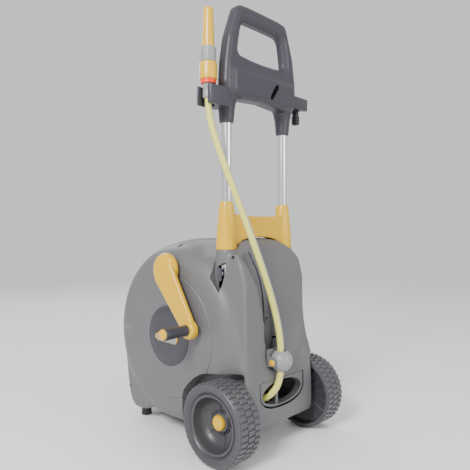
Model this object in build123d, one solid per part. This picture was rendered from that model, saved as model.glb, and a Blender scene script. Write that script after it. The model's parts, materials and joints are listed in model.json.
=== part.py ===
from build123d import *
from math import acos, atan2, cos, degrees, hypot, pi, radians, sin, tan
import os

# Wheeled, fully enclosed garden hose reel with a telescopic handle. Millimetres.
# Modelling frame: X across the cart (crank side is -X), Y away from the hose outlet,
# Z up, floor at Z = 0, wheel axle over Y = 0, the two case halves meet at X = 0.

# overall envelope, used to put the origin under the middle of the whole cart
crank_side_x = -250.0
far_side_x = 196.0
wheel_back_y = -92.0
nose_y = 448.4
origin = Vector((crank_side_x + far_side_x) / 2, (wheel_back_y + nose_y) / 2, 0)

# case
wall = 3.0
reel_y, reel_z = 203.4, 253.2
crown_r = 245.0
side_x, side_r = 145.0, 190.0
rim_x, rim_r = 125.0, 221.0
case_floor_z = 45.0
block_x = 126.0

# axes of the screw posts that hold the case halves together, as (y, z)
screw_places = [(20, 64), (298, 60), (396, 84), (425, 233), (380, 400), (197, 479), (4, 455)]
post_r, screw_r, screw_head_r, screw_well_r = 6.0, 2.4, 3.6, 3.8
screw_seat_x = -14.0
bush_r = 20.0

# telescopic tubes and the handle
tube_x, tube_y = 106.0, 38.0
tube_r, tube_wall = 12.5, 1.2
tube_bottom_z, tube_top_z = 412.0, 862.0
sleeve_bottom_z, sleeve_top_z = 236.0, 474.0
slide_fit = 0.06
grip_y = 28.0
handle_depth = 34.0
latch_z, latch_pin_r = 424.0, 3.0
clip_r = 15.0
handle_screw_places = [(-77, 850), (77, 850), (0, 866), (-106, 975), (106, 975), (0, 1030)]

# wheels
wheel_r, wheel_width = 92.0, 66.0
wheel_x = 163.0
axle_r, axle_z = 6.0, 92.0

# drum and gears
drum_half = 84.0
flange_r, flange_thickness = 188.0, 4.0
core_r = 62.0
winding_r = 150.0
gear_module, gear_width = 3.0, 14.0
drum_teeth, pinion_teeth = 81, 30
journal_r = 15.0
running_fit = 0.05
inlet_r = 9.0
hub_cover_thickness = 3.0

# hose outlet
window_z = 131.5
roller_x, roller_y, roller_r = {"left": -77.0, "right": -34.0}, -27.0, 5.0

# crank
crank_y = 200.0
crank_z = reel_z + ((gear_module * (drum_teeth + pinion_teeth) / 2) ** 2 - (reel_y - crank_y) ** 2) ** 0.5
knob_y, knob_z = 100.0, 284.0
arm_x = -166.0
crank_shaft_r, crank_bush_r, crank_spigot_r = 10.0, 14.0, 6.0
knob_pin_r = 4.0

# hose and nozzle
hose_r = 8.0
nozzle_x, nozzle_y = -165.0, 38.0
spindle_r, water_bore_r, connector_r = 8.0, 4.5, 12.5
ring_ribs = 24
eye_x, eye_y, eye_z, eye_r = -18.0, -56.0, 212.0, 27.0
eye_bore_r, eye_pivot_r, eye_flat, eye_seam = 10.0, 4.0, 26.0, 13.0
hose_route = [
    (-165, 38, 815), (-165, 38, 785), (-157, 25, 728), (-143, 2, 652), (-119, -21, 566), (-85, -40, 464),
    (-50, -50, 372), (-24, -56, 282), (-18, -56, 212), (-26, -57, 160), (-44, -44, 132), (-58, -8, 114),
    (-58, 60, 105), (-56, 125, 98), (-54, 190, 94.9),
]


def save(name, shape):
    export_step(Pos(-origin.X, -origin.Y, 0) * shape, f"parts/{name}.step")


def along_x(shape, x, y, z):
    """Turn a shape modelled about Z so that its axis runs along +X from the given point."""
    return Pos(x, y, z) * Rot(0, 90, 0) * shape


def ring(outer, inner, height):
    return cylinder(outer, height) - cylinder(inner, height)


def cylinder(radius, height):
    """Cylinder standing on the plane Z = 0."""
    return Cylinder(radius, height, align=(Align.CENTER, Align.CENTER, Align.MIN))


def rod_x(radius, start_x, end_x, y, z):
    return along_x(cylinder(radius, end_x - start_x), start_x, y, z)


def tube_x_axis(outer, inner, start_x, end_x, y, z):
    return along_x(ring(outer, inner, end_x - start_x), start_x, y, z)


def box(low, high):
    size = [b - a for a, b in zip(low, high)]
    middle = [(a + b) / 2 for a, b in zip(low, high)]
    return Pos(*middle) * Box(*size)


def group(shapes):
    """Separate solids that share one node."""
    return Compound([solid for shape in shapes for solid in shape.solids()])


def rounded_face(points, radius, inset=0.0):
    """Closed outline with every corner rounded, shrunk all round by the inset."""
    face = make_face(Polyline(*points, close=True))
    face = fillet(face.vertices(), radius)
    return offset(face, -inset) if inset else face


def side_extrusion(points, radius, x0, x1, inset=0.0):
    """Outline in (Y, Z) carried from x0 to x1."""
    face = rounded_face(points, radius, inset)
    return Pos(x0, 0, 0) * extrude(Plane.YZ * face, amount=x1 - x0)


def front_extrusion(points, radius, y0, y1, inset=0.0):
    """Outline in (X, Z) carried from y0 to y1."""
    face = rounded_face(points, radius, inset)
    return Pos(0, y1, 0) * extrude(Plane.XZ * face, amount=y1 - y0)


def mirror_points(half):
    return half + [(-x, z) for x, z in reversed(half) if x != 0]


# ---------------------------------------------------------------- case

def housing(inset):
    """Drum housing: a crowned disc turned about the reel axis."""
    half = [(side_x - inset, 0), (side_x - inset, side_r - inset / 2), (rim_x - inset / 2, rim_r - inset),
            (60, 240 - inset), (0, crown_r - inset)]
    points = [(-x, r) for x, r in half] + [(x, r) for x, r in reversed(half[:-1])]
    face = make_face(Polyline(*points, close=True))
    corners = face.vertices().filter_by(lambda v: v.Y > 1)
    turned = revolve(fillet(corners, 14), Axis.X, 360)
    return Pos(0, reel_y, reel_z) * turned & box((-150, -60, case_floor_z + inset), (150, 460, 520))


def back_block(inset):
    """Back of the case, which carries the tubes and meets the wheels."""
    side = [(-45, 58), (-49, 80), (-46, 172), (-22, 235), (-20, 400), (-6, 470), (24, 499),
            (175, 499), (240, 400), (240, 80), (203, 45), (60, 50)]
    front = mirror_points([(0, 40), (block_x, 40), (block_x, 410), (122, 450), (70, 494), (0, 501)])
    return (side_extrusion(side, 7, -160, 160, inset)
            & front_extrusion(front, 10, -70, 260, inset))


def fenders(inset):
    """Flares of the case over both wheels."""
    side = [(-63, 191), (-58, 222), (-12, 300), (-5, 345), (104, 345), (118, 253), (137, 150), (139, 119),
            (118, 119)]
    front = [(95, 110), (150, 110), (150, 232), (139, 275), (127, 345), (95, 345)]
    flare = side_extrusion(side, 4, 90, 160, inset) & front_extrusion(front, 8, -80, 170, inset)
    return flare + mirror(flare, Plane.YZ)


def nose(inset):
    """Foot of the case under the drum, which carries the two front feet."""
    side = [(290, 45), (345, 25), (384, 25), (400, 45), (414, 110), (424, 200), (330, 240), (250, 120)]
    front = mirror_points([(0, 20), (118, 20), (124, 60), (124, 260), (0, 260)])
    return side_extrusion(side, 8, -130, 130, inset) & front_extrusion(front, 9, 240, 440, inset)


def shoulder_posts(inset):
    """Round tops of the legs, under the yellow collar."""
    post = Pos(tube_x, tube_y, 380) * cylinder(25 - inset, sleeve_top_z - 380 - inset)
    return post + mirror(post, Plane.YZ)


def case_form(inset):
    return housing(inset) + back_block(inset) + fenders(inset) + nose(inset) + shoulder_posts(inset)


def case_body():
    """Hollow case with its bores, recesses, window and inner bosses, before it is split."""
    outside = case_form(0)
    body = outside - case_form(wall)
    for y, z in screw_places:
        body += tube_x_axis(post_r, screw_r, -150, 150, y, z) & outside
        body -= rod_x(screw_well_r, -160, screw_seat_x, y, z)
    body -= box((-84, -60, 90), (84, 0, 171))
    body += Pos(eye_x, eye_y, eye_z) * Sphere(eye_r + 5) & outside
    body -= Pos(eye_x, eye_y, eye_z) * Sphere(eye_r + 2)
    body -= Pos(eye_x - 6, eye_y, 150) * cylinder(18, 40)
    for side in (-1, 1):
        body -= rod_x(wheel_r + 6, *span(side, 126.4, 190), 0, axle_z)
        body += Pos(side * tube_x, tube_y, sleeve_bottom_z) * cylinder(17, sleeve_top_z - sleeve_bottom_z)
        body += tube_x_axis(12, axle_r, *span(side, 92, 126), 0, axle_z)
        body += tube_x_axis(bush_r + 6, bush_r, *span(side, 112, 143), reel_y, reel_z)
        body -= Pos(side * tube_x, tube_y, sleeve_bottom_z) * cylinder(tube_r + slide_fit, 300)
        body -= rod_x(axle_r, *span(side, 92, 150), 0, axle_z)
        body -= rod_x(bush_r, *span(side, 112, 150), reel_y, reel_z)
        body -= latch_slot(side) + rod_x(latch_pin_r + running_fit, *span(side, 110, 130), tube_y, latch_z)
    body += tube_x_axis(crank_bush_r + 6, crank_bush_r, -143, -120, crank_y, crank_z)
    return body - rod_x(crank_bush_r, -150, -120, crank_y, crank_z)


def span(side, a, b):
    """The two ends of a run on one side of the cart, the lower first."""
    return sorted((side * a, side * b))


def latch_slot(side):
    """Tall recess in the outside of each leg, with the latch in it."""
    outline = [(24, 440), (34, 433), (48, 436), (48, 395), (42, 372), (30, 372), (24, 395)]
    return side_extrusion(outline, 2.5, *span(side, 124, 135))


def case_halves():
    body = case_body()
    left = body - box((0, -120, 0), (200, 480, 600))
    right = body - box((-200, -120, 0), (0, 480, 600))
    return left, right


def case_screws():
    """Screws that draw the two halves together, one in each post."""
    screws = []
    for y, z in screw_places:
        head = rod_x(screw_head_r, screw_seat_x - 3, screw_seat_x, y, z)
        screws.append(head + rod_x(screw_r, screw_seat_x, 12, y, z))
    return group(screws)


def hub_cover(side):
    """Dark disc over the reel axis. The one on the inlet side has a hole for the inlet."""
    disc = rod_x(75.3, *span(side, side_x, side_x + hub_cover_thickness), reel_y, reel_z)
    return disc - rod_x(inlet_r, 140, 160, reel_y, reel_z) if side > 0 else disc


def hub_badge():
    """Plain trim plate on the crank side's cover."""
    outline = [(172, 236), (214, 222), (220, 246), (182, 262)]
    face_x = -side_x - hub_cover_thickness
    return side_extrusion(outline, 4, face_x - 2.5, face_x)


def tube_collar():
    """Moulding that joins the two tube outlets on top of the case."""
    bridge = front_extrusion(
        [(-100, 480), (-100, 556), (0, 552), (100, 556), (100, 480)], 3, tube_y - 16, tube_y + 16)
    body = bridge
    cone_height = 111.5
    for side in (-1, 1):
        body += Pos(side * tube_x, tube_y, sleeve_top_z + cone_height / 2) * Cone(25, 15.6, cone_height)
    inner = front_extrusion([(-84, 470), (-84, 549), (84, 549), (84, 470)], 3, tube_y - 13, tube_y + 13)
    body = body - inner - case_form(0)
    for side in (-1, 1):
        body -= Pos(side * tube_x, tube_y, 460) * cylinder(tube_r + slide_fit, 140)
    return body


def latch(side):
    """Latch that is pushed in to lock the tube at full height."""
    cap = side_extrusion([(31, 400), (31, 430), (45, 430), (45, 400)], 3, *span(side, 127.5, 130.9))
    return cap + rod_x(latch_pin_r, *span(side, 119, 127.5), tube_y, latch_z)


def front_feet():
    feet = [Pos(side * 85, 372, 0) * cylinder(14.5, 25) for side in (-1, 1)]
    return group(feet)


def wheel_axle():
    return rod_x(axle_r, -192, 192, 0, axle_z)


def drum_bush(side):
    """Plain bearing ring for one end of the drum."""
    return tube_x_axis(bush_r, journal_r + running_fit, *span(side, 114, 142), reel_y, reel_z)


def crank_bush():
    return tube_x_axis(crank_bush_r, crank_shaft_r + running_fit, -side_x, -120, crank_y, crank_z)


def inlet_spigot():
    """Water inlet: a male hose spigot that the drum turns around."""
    bar = rod_x(inlet_r, 86, side_x + 3, reel_y, reel_z)
    bar += rod_x(15.0, side_x + 3, side_x + 9, reel_y, reel_z)
    bar += rod_x(8.0, side_x + 9, side_x + 31, reel_y, reel_z)
    bar += along_x(Cone(8.0, 6.2, 6), side_x + 34, reel_y, reel_z)
    bar -= rod_x(4.5, 80, side_x + 40, reel_y, reel_z)
    groove = tube_x_axis(10, 7.2, side_x + 22, side_x + 25, reel_y, reel_z)
    return bar - groove - tube_x_axis(10, 7.5, 96, 99, reel_y, reel_z)


def inlet_seals():
    """O-rings in the two grooves of the inlet."""
    outer = tube_x_axis(8.0, 7.2, side_x + 22, side_x + 25, reel_y, reel_z)
    inner = tube_x_axis(inlet_r, 7.5, 96, 99, reel_y, reel_z)
    return group([outer, inner])


# ---------------------------------------------------------------- hose outlet

def outlet_plate():
    """Framed oval opening that the hose leaves through, with a post and the seats of two rollers."""
    plate = front_extrusion([(-83, 92), (-83, 169), (83, 169), (83, 92)], 8, -46, -41)
    plate -= Pos(0, -30, window_z) * Rot(90, 0, 0) * extrude(Ellipse(74, 28), amount=30)
    plate += box((-22, -43, 96), (-14, -33, 166))
    for low, high in ((92.5, 99), (164, 168.5)):
        plate += box((-83, -43, low), (-14, -18, high))
    for x in roller_x.values():
        plate -= Pos(x, roller_y, 94) * cylinder(2.05, 73)
    return plate


def outlet_roller(side):
    """Upright roller beside the hose, turning on its own two journals."""
    body = Pos(roller_x[side], roller_y, 99.3) * cylinder(roller_r, 64.4)
    return body + Pos(roller_x[side], roller_y, 94.5) * cylinder(2.0, 72)


def eye_bracket():
    """Seat on the case for the swivelling hose eye, with an ear on each side."""
    body = box((eye_x - 33, -42, eye_z - 12), (eye_x + 33, -18, eye_z + 28))
    body -= Pos(eye_x, eye_y, eye_z) * Sphere(eye_r + 1.5)
    for side in (-1, 1):
        middle = eye_x + side * 31
        ear = [(eye_y - 8, eye_z - 9), (eye_y - 8, eye_z + 9), (-22, eye_z + 18), (-22, eye_z - 12)]
        body += side_extrusion(ear, 5, middle - 2, middle + 2)
    body -= rod_x(eye_pivot_r + running_fit, eye_x - 40, eye_x + 40, eye_y, eye_z)
    return body - case_form(0)


def hose_eye():
    """Ball with a flared bore; two halves meet on a plane across the pivot axis."""
    ball = Pos(eye_x, eye_y, eye_z) * Sphere(eye_r)
    ball -= Pos(eye_x, eye_y, eye_z - 40) * cylinder(eye_bore_r, 80)
    for end in (-1, 1):
        flare = Cone(eye_bore_r, 15.5, 22) if end > 0 else Cone(15.5, eye_bore_r, 22)
        ball -= Pos(eye_x, eye_y, eye_z + end * 17) * flare
    left = ball - eye_slab(eye_seam, 60) - eye_slab(-60, -eye_flat)
    right = ball - eye_slab(-60, eye_seam) - eye_slab(eye_flat, 60)
    left += rod_x(eye_pivot_r, eye_x - 34, eye_x - eye_flat + 1, eye_y, eye_z)
    right += rod_x(eye_pivot_r, eye_x + eye_flat - 1, eye_x + 34, eye_y, eye_z)
    return left, right


def eye_slab(start, end):
    """Block that trims the ball between two distances from its middle along X."""
    return box((eye_x + start, -100, 100), (eye_x + end, 0, 300))


def eye_caps():
    """Snap caps on the ends of the eye's two pivots."""
    caps = []
    for side in (-1, 1):
        start, end = span(side, 34, 37)
        caps.append(rod_x(7.5, eye_x + start, eye_x + end, eye_y, eye_z))
    return group(caps)


# ---------------------------------------------------------------- drum

def gear(teeth, width, bore):
    """Spur gear about Z with involute flanks, cut a little thin for backlash."""
    pitch_r = gear_module * teeth / 2
    base_r = pitch_r * cos(radians(20))
    tip_r, root_r = pitch_r + 0.9 * gear_module, pitch_r - 1.25 * gear_module
    start_r = max(base_r, root_r + 0.4)
    backlash = 0.25

    def half_angle(r):
        pressure = acos(base_r / r)
        at_pitch = tan(radians(20)) - radians(20)
        tooth = (pi * gear_module / 2 - backlash) / (2 * pitch_r)
        return tooth + at_pitch - (tan(pressure) - pressure)

    radii = [start_r + (tip_r - start_r) * step / 3 for step in range(4)]
    points = []
    for tooth in range(teeth):
        middle = 2 * pi * tooth / teeth
        flank = [(r, middle - half_angle(r)) for r in radii]
        other = [(r, middle + half_angle(r)) for r in reversed(radii)]
        foot = half_angle(start_r)
        outline = [(root_r, middle - foot), *flank, *other, (root_r, middle + foot)]
        points += [(r * cos(a), r * sin(a)) for r, a in outline]
    blank = extrude(make_face(Polyline(*points, close=True)), amount=width)
    return blank - cylinder(bore, width)


def drum_gear():
    wheel = gear(drum_teeth, gear_width, bush_r) - ring(106, 34, gear_width / 2)
    return along_x(wheel, -102, reel_y, reel_z)


def crank_pinion():
    """Pinion on the crank's shaft, turned so that its teeth mesh with the drum gear at rest."""
    line = degrees(atan2(crank_z - reel_z, crank_y - reel_y))
    # angles about +X measured from +Y towards +Z
    drum_phase = (line + 90) / (360 / drum_teeth) % 1
    pinion_line = (line + 180 + 90) / (360 / pinion_teeth) % 1
    turn = (pinion_line + drum_phase - 0.5) * 360 / pinion_teeth
    wheel = gear(pinion_teeth, gear_width, crank_spigot_r)
    return along_x(Rot(0, 0, turn) * wheel, -104, crank_y, crank_z)


def drum_core():
    core = tube_x_axis(core_r, core_r - 3, -drum_half, drum_half, reel_y, reel_z)
    for x in (-drum_half, drum_half - 4):
        core += tube_x_axis(core_r - 2, 22, x, x + 4, reel_y, reel_z)
    return core


def drum_flange(side):
    """Flange with six windows and its journal; the inlet side's journal is hollow."""
    x0, x1 = span(side, drum_half, drum_half + flange_thickness)
    disc = rod_x(flange_r, x0, x1, reel_y, reel_z)
    rim = tube_x_axis(flange_r, flange_r - 4, *span(side, drum_half - 3, drum_half + 4), reel_y, reel_z)
    body = disc + rim
    for number in range(6):
        angle = radians(60 * number + 30)
        spot = (x0 - 1, reel_y + 125 * cos(angle), reel_z + 125 * sin(angle))
        body -= along_x(cylinder(22, 8), *spot)
    journal = rod_x(journal_r, *span(side, drum_half + 2, 140), reel_y, reel_z)
    collar = rod_x(19.9, *span(side, drum_half, 110), reel_y, reel_z)
    body += journal + collar
    return body - rod_x(inlet_r + running_fit, 60, 150, reel_y, reel_z) if side > 0 else body


def drum_bolts():
    """Bolts that hold the drum gear to its flange."""
    bolts = []
    for number in range(3):
        angle = radians(120 * number + 90)
        y, z = reel_y + 75 * cos(angle), reel_z + 75 * sin(angle)
        bolts.append(rod_x(5, -99, -95, y, z))
    return group(bolts)


def hose_winding():
    """The wound hose: one closed ring between the flanges."""
    return tube_x_axis(winding_r, core_r, -drum_half, drum_half, reel_y, reel_z)


# ---------------------------------------------------------------- crank

def crank_arm():
    """Cranked lever: big boss over the pinion shaft, small boss for the knob."""
    big = rod_x(32, arm_x - 6, -149, crank_y, crank_z)
    small = rod_x(19, arm_x - 6, arm_x + 6, knob_y, knob_z)
    dy, dz = knob_y - crank_y, knob_z - crank_z
    length = hypot(dy, dz)
    ny, nz = -dz / length, dy / length
    web = make_face(Polyline(
        (crank_y + 29 * ny, crank_z + 29 * nz), (knob_y + 18 * ny, knob_z + 18 * nz),
        (knob_y - 18 * ny, knob_z - 18 * nz), (crank_y - 29 * ny, crank_z - 29 * nz), close=True))
    arm = big + small + Pos(arm_x - 6, 0, 0) * extrude(Plane.YZ * web, amount=12)
    return arm - rod_x(crank_spigot_r, arm_x - 3, arm_x + 20, crank_y, crank_z)


def crank_shaft():
    shaft = rod_x(crank_shaft_r, -side_x, -104, crank_y, crank_z)
    shaft += rod_x(crank_spigot_r, arm_x - 3, -side_x, crank_y, crank_z)
    return shaft + rod_x(crank_spigot_r, -104, -89.5, crank_y, crank_z)


def knob_pin():
    return rod_x(knob_pin_r, -244, arm_x - 6, knob_y, knob_z)


def crank_knob():
    """Handgrip that spins on the pin."""
    return tube_x_axis(14.5, knob_pin_r + running_fit, -245, arm_x - 7, knob_y, knob_z)


def knob_cap():
    return rod_x(12.5, -250, -245, knob_y, knob_z)


# ---------------------------------------------------------------- wheels

def wheel(side):
    """Moulded wheel: treaded rim, dished web and hub bored for the axle."""
    half = wheel_width / 2
    points = [(0, -half), (20, -half), (20, -18), (78, -14), (80, -half), (wheel_r - 3, -half),
              (wheel_r, -half + 4), (wheel_r, half - 4), (wheel_r - 3, half), (82, half), (78, 4),
              (26, -6), (24, half - 8), (0, half - 8)]
    disc = revolve(Plane.XZ * make_face(Polyline(*points, close=True)), Axis.Z, 360)
    disc -= Pos(0, 0, -half) * cylinder(axle_r + running_fit, wheel_width)
    turn = Rot(0, 90 * side, 0)
    return Pos(side * wheel_x, 0, axle_z) * turn * disc


def wheel_cap(side):
    """Push-on cap that keeps the wheel on the axle."""
    cap = rod_x(17, *span(side, wheel_x + 25.5, wheel_x + 33), 0, axle_z)
    return cap - rod_x(axle_r + running_fit, -192.3, 192.3, 0, axle_z)


# ---------------------------------------------------------------- handle

def handle_outline():
    """Grip loop, crossbar and the two tube sockets, in (X, Z)."""
    return mirror_points([(0, 1050), (84, 1048), (97, 1030), (121, 965), (131, 905), (134, 850), (129, 768),
                          (83, 768), (80, 806), (66, 818), (0, 830)])


def handle_window():
    return mirror_points([(0, 1012), (64, 1010), (76, 1000), (86, 945), (78, 930), (0, 926)])


def handle_form(inset):
    low, high = grip_y - handle_depth / 2 + inset, grip_y + handle_depth / 2 - inset
    body = front_extrusion(handle_outline(), 5, low, high, inset)
    body -= front_extrusion(handle_window(), 6, low - 5, high + 5, -inset)
    bar = [(-120, 832), (-120, 900), (120, 900), (120, 832)]
    bulge = front_extrusion(bar, 14, 2 + inset, 54 - inset, inset)
    body += bulge
    for side in (-1, 1):
        body += Pos(side * tube_x, tube_y, 811) * Cone(23 - inset, 27 - inset, 86 - inset)
    return body


def along_y(shape, x, y, z):
    """Turn a shape modelled about Z so that its axis runs along +Y from the given point."""
    return Pos(x, y, z) * Rot(-90, 0, 0) * shape


def handle_halves():
    outside = handle_form(0)
    body = outside - handle_form(3)
    for x, z in handle_screw_places:
        body += along_y(cylinder(6, 90), x, -10, z) & outside
        body -= along_y(cylinder(2.2, 32), x, 16, z) + along_y(cylinder(4.2, 40), x, 43, z)
    for side in (-1, 1):
        body += Pos(side * tube_x, tube_y, 768) * cylinder(16, 98)
        body -= Pos(side * tube_x, tube_y, 760) * cylinder(tube_r, 102)
    body -= front_extrusion([(79, 897), (88, 892), (73, 868), (67, 871)], 2, -5, 7)
    rear = body - box((-220, -20, 700), (220, tube_y, 1100))
    front = body - box((-220, tube_y, 700), (220, 90, 1100))
    return front, rear


def handle_tube(side):
    height = tube_top_z - tube_bottom_z
    tube = Pos(side * tube_x, tube_y, tube_bottom_z) * ring(tube_r, tube_r - tube_wall, height)
    return tube - rod_x(latch_pin_r + 0.3, *span(side, 110, 125), tube_y, latch_z)


def tube_plugs():
    """Plastic plugs in the lower ends of the tubes."""
    plugs = [Pos(side * tube_x, tube_y, tube_bottom_z) * cylinder(tube_r - tube_wall, 6) for side in (-1, 1)]
    return group(plugs)


def handle_screws():
    """Screws that hold the two halves of the handle together."""
    screws = []
    for x, z in handle_screw_places:
        screws.append(along_y(cylinder(2.2, 26), x, 17, z) + along_y(cylinder(4.2, 2.5), x, 43, z))
    return group(screws)


def spring_clip(side, low_z, high_z):
    """Open C-shaped clip on an arm at the side of the handle; the mouth faces out and forward."""
    x = side * abs(nozzle_x)
    arm_start, arm_end = span(side, 131, 152)
    arm = box((arm_start, 22, low_z), (arm_end, 54, high_z))
    body = arm + Pos(x, nozzle_y, low_z) * cylinder(clip_r + 5, high_z - low_z)
    body -= Pos(x, nozzle_y, low_z) * cylinder(clip_r, high_z - low_z)
    mouth = Pos(x, nozzle_y, (low_z + high_z) / 2) * Rot(0, 0, 135 if side < 0 else 45)
    body -= mouth * Pos(0, -20 if side < 0 else 20, 0) * Box(22, 40, high_z - low_z + 2)
    return body - handle_form(0)


def stored_fitting():
    """Spare threaded tap fitting kept in the right clip."""
    x = -nozzle_x
    body = Pos(x, nozzle_y, 806) * cylinder(9, 38) + Pos(x, nozzle_y, 844) * cylinder(clip_r - 0.1, 26)
    for z in (809, 816, 823):
        body += Pos(x, nozzle_y, z) * cylinder(11, 4)
    return body - Pos(x, nozzle_y, 800) * cylinder(6, 80)


# ---------------------------------------------------------------- nozzle

def nozzle_barrel():
    """Body of the nozzle: barrel below, spindle inside the turning head."""
    barrel = Pos(nozzle_x, nozzle_y, 857) * cylinder(20, 38.5)
    spindle = Pos(nozzle_x, nozzle_y, 895.5) * cylinder(spindle_r, 90)
    bore = Pos(nozzle_x, nozzle_y, 850) * cylinder(water_bore_r, 140)
    return barrel + spindle - bore - Pos(nozzle_x, nozzle_y, 857) * cylinder(spindle_r + running_fit, 12)


def nozzle_ring():
    """Ribbed grip ring that is turned to set the jet."""
    body = Pos(nozzle_x, nozzle_y, 896) * ring(17, spindle_r + running_fit, 34)
    for number in range(ring_ribs):
        rib = Rot(0, 0, 360 / ring_ribs * number) * Pos(17, 0, 17) * Box(2, 2, 34)
        body += Pos(nozzle_x, nozzle_y, 896) * rib
    return body


def nozzle_tip():
    profile = Polyline((9, 0), (13.5, 0), (11.4, 86), (10.2, 89), (5, 89), (5, 62), (9, 56), close=True)
    return Pos(nozzle_x, nozzle_y, 930) * revolve(Plane.XZ * make_face(profile), Axis.Z, 360)


def nozzle_oring():
    return Pos(nozzle_x, nozzle_y, 940) * ring(8.9, 8.02, 3)


def hose_connector():
    """Quick connector between hose and nozzle."""
    body = Pos(nozzle_x, nozzle_y, 815) * cylinder(connector_r, 33)
    body += Pos(nozzle_x, nozzle_y, 848) * cylinder(spindle_r, 20)
    return body - Pos(nozzle_x, nozzle_y, 800) * cylinder(water_bore_r, 80)


def connector_collar():
    """Release collar that is pulled down to free the nozzle."""
    return Pos(nozzle_x, nozzle_y, 847.5) * ring(18, connector_r + slide_fit, 9)


# ---------------------------------------------------------------- hose

def hose_run():
    """The free hose, from the connector through the eye and the window to the drum."""
    points = [Vector(*p) for p in hose_route]
    runs = [(b - a).length for a, b in zip(points, points[1:])]
    radii = []
    for number in range(1, len(points) - 1):
        turn = (points[number] - points[number - 1]).get_angle(points[number + 1] - points[number])
        radii.append(0.45 * min(runs[number - 1], runs[number]) / tan(radians(turn) / 2))
    path = FilletPolyline(*points, radius=radii)
    start = Plane(origin=points[0], z_dir=points[1] - points[0])
    tube = sweep(start * Circle(hose_r), path=path)
    print("hose radii", [round(r) for r in radii], "length", round(path.length))
    print("volume ratio", round(tube.volume / (pi * hose_r ** 2 * path.length), 4))
    return tube


os.makedirs("parts", exist_ok=True)

left_shell, right_shell = case_halves()
save("left_shell", left_shell)
save("right_shell", right_shell)
save("case_screws", case_screws())
save("left_hub_cover", hub_cover(-1))
save("right_hub_cover", hub_cover(1))
save("hub_badge", hub_badge())
save("tube_collar", tube_collar())
save("front_feet", front_feet())
save("wheel_axle", wheel_axle())
save("left_drum_bush", drum_bush(-1))
save("right_drum_bush", drum_bush(1))
save("crank_bush", crank_bush())
save("inlet_spigot", inlet_spigot())
save("inlet_seals", inlet_seals())
save("outlet_plate", outlet_plate())
save("eye_bracket", eye_bracket())
for side_name, side_sign in (("left", -1), ("right", 1)):
    save(f"{side_name}_latch", latch(side_sign))
    save(f"{side_name}_outlet_roller", outlet_roller(side_name))
    save(f"{side_name}_drum_flange", drum_flange(side_sign))
    save(f"{side_name}_wheel", wheel(side_sign))
    save(f"{side_name}_wheel_cap", wheel_cap(side_sign))
    save(f"{side_name}_handle_tube", handle_tube(side_sign))

eye_left, eye_right = hose_eye()
save("eye_left_half", eye_left)
save("eye_right_half", eye_right)
save("eye_caps", eye_caps())

save("drum_core", drum_core())
save("drum_gear", drum_gear())
save("drum_bolts", drum_bolts())
save("hose_winding", hose_winding())

save("crank_arm", crank_arm())
save("crank_shaft", crank_shaft())
save("crank_pinion", crank_pinion())
save("knob_pin", knob_pin())
save("crank_knob", crank_knob())
save("knob_cap", knob_cap())

handle_front, handle_rear = handle_halves()
save("handle_front", handle_front)
save("handle_rear", handle_rear)
save("handle_screws", handle_screws())
save("tube_plugs", tube_plugs())
save("nozzle_clip", spring_clip(-1, 800, 841.5))
save("fitting_clip", spring_clip(1, 842, 873))
save("stored_fitting", stored_fitting())

save("nozzle_barrel", nozzle_barrel())
save("nozzle_ring", nozzle_ring())
save("nozzle_tip", nozzle_tip())
save("nozzle_oring", nozzle_oring())
save("hose_connector", hose_connector())
save("connector_collar", connector_collar())
save("hose_run", hose_run())
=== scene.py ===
import json
import bpy
from math import cos, radians, sin, tau
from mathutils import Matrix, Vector


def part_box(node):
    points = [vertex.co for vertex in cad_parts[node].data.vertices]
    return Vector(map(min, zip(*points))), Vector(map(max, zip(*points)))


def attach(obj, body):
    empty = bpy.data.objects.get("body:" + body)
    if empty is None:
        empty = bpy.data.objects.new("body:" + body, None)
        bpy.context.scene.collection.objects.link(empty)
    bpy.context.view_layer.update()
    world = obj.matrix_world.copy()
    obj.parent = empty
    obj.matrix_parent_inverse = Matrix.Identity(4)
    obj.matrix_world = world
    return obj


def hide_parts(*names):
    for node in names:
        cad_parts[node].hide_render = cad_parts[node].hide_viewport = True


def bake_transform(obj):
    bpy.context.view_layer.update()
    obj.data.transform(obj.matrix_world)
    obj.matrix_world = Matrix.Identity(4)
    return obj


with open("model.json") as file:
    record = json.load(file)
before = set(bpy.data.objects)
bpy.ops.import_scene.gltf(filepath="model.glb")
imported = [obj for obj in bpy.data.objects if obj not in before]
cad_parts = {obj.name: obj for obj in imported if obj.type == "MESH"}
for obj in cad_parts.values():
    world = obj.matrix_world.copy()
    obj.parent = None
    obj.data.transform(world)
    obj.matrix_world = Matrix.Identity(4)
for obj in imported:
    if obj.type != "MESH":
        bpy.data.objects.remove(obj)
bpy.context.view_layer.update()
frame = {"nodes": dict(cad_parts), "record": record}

# Lengths in the dictionaries are millimetres. x is from the middle of the wheel axle, y from the
# axle's line towards the front feet, z from the floor.
mm = 0.001
axleLow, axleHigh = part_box("wheel_axle")
axleMiddle = (axleLow + axleHigh) / 2


# places that several pieces share
places = {
    "reel": (0, 203.4, 253.2),
    "tube": (106, 38),
    "clip": (165, 38),
}


def spot(x, y, z):
    return Vector((axleMiddle.x + x * mm, axleMiddle.y + y * mm, z * mm))


# Small tools that every piece uses. Outlines and profiles are in millimetres.

def deselectAll():
    bpy.ops.object.select_all(action="DESELECT")


def pick(piece):
    deselectAll()
    piece.select_set(True)
    bpy.context.view_layer.objects.active = piece


def startEdit(piece):
    pick(piece)
    bpy.ops.object.mode_set(mode="EDIT")
    bpy.ops.mesh.select_all(action="SELECT")


def endEdit():
    bpy.ops.object.mode_set(mode="OBJECT")


def applyModifier(piece, kind, **settings):
    modifier = piece.modifiers.new(kind.lower(), kind)
    for key, value in settings.items():
        setattr(modifier, key, value)
    pick(piece)
    bpy.ops.object.modifier_apply(modifier=modifier.name)


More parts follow.
